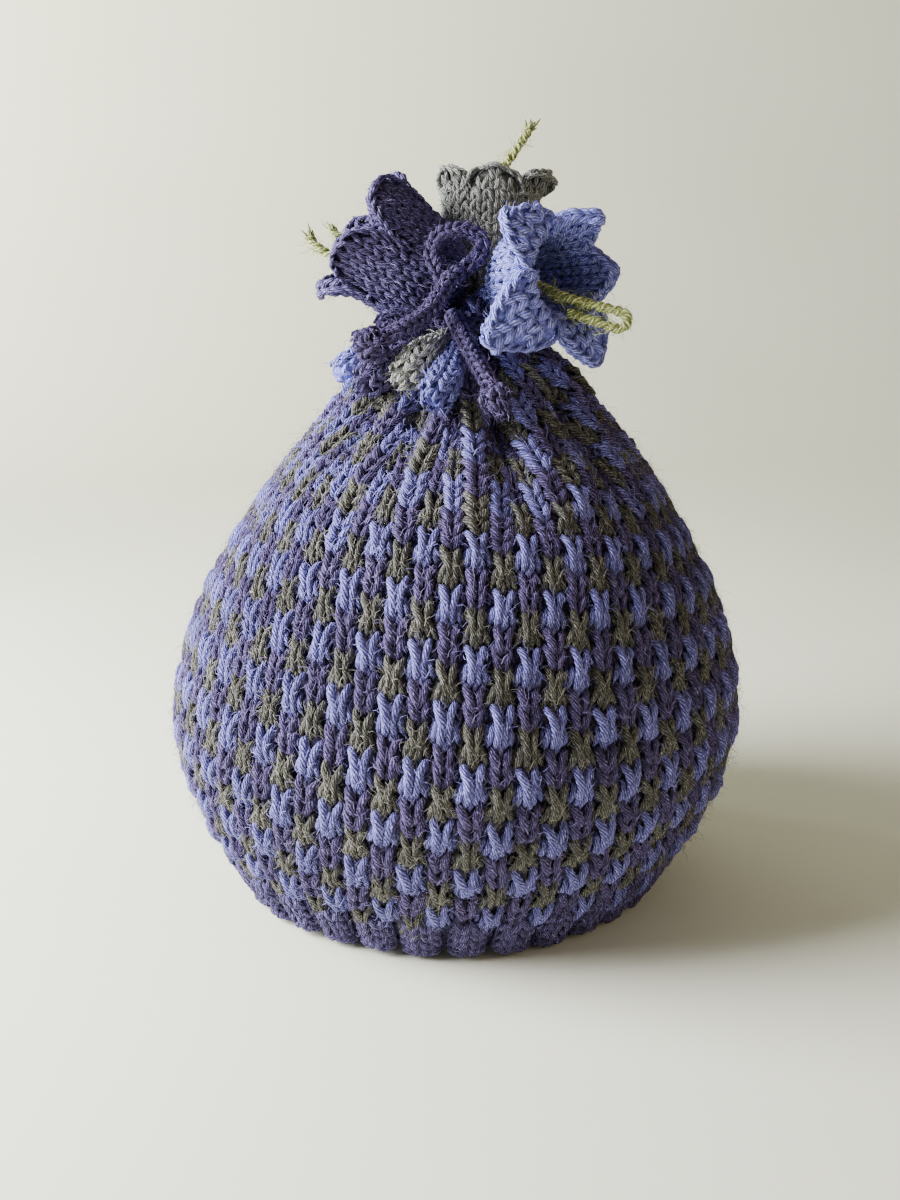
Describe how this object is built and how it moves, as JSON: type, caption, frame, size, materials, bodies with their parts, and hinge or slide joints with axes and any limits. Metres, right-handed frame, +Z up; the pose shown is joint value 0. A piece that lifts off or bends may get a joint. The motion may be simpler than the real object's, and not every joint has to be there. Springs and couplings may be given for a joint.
{
  "type": "tea cosy",
  "caption": "Knitted tea cosy: a hollow ribbed cover with side slits for a teapot's spout and handle, gathered at the neck by a tied cord under knitted flowers and buds.",
  "frame": {"origin": "on the plane the hem stands on, under the middle of the cover's width and depth", "axes": "+Z up from the hem to the flowers; -Y is the front with the tie; -X is the spout side and +X the handle side"},
  "size_m": [0.1793, 0.1784, 0.2366],
  "materials": {
    "wall_yarn": "matt knitted wool",
    "violet_yarn": "matt knitted wool",
    "periwinkle_yarn": "matt knitted wool",
    "grey_yarn": "matt knitted wool",
    "green_yarn": "plied wool"
  },
  "bodies": {
    "root": {"cosy_wall": "wall_yarn", "neck_cord": "violet_yarn", "bow_loop": "violet_yarn", "tail_left": "violet_yarn", "tail_right": "violet_yarn", "knot_left": "violet_yarn", "knot_right": "violet_yarn", "flower_left": "violet_yarn", "flower_back": "grey_yarn", "flower_right": "periwinkle_yarn", "stamen_left_a": "green_yarn", "stamen_left_b": "green_yarn", "stamen_back": "green_yarn", "stamen_right": "green_yarn", "bud_grey": "grey_yarn", "bud_periwinkle": "periwinkle_yarn", "bud_blue": "periwinkle_yarn", "bud_violet": "violet_yarn", "bud_small": "violet_yarn"}
  },
  "joints": []
}
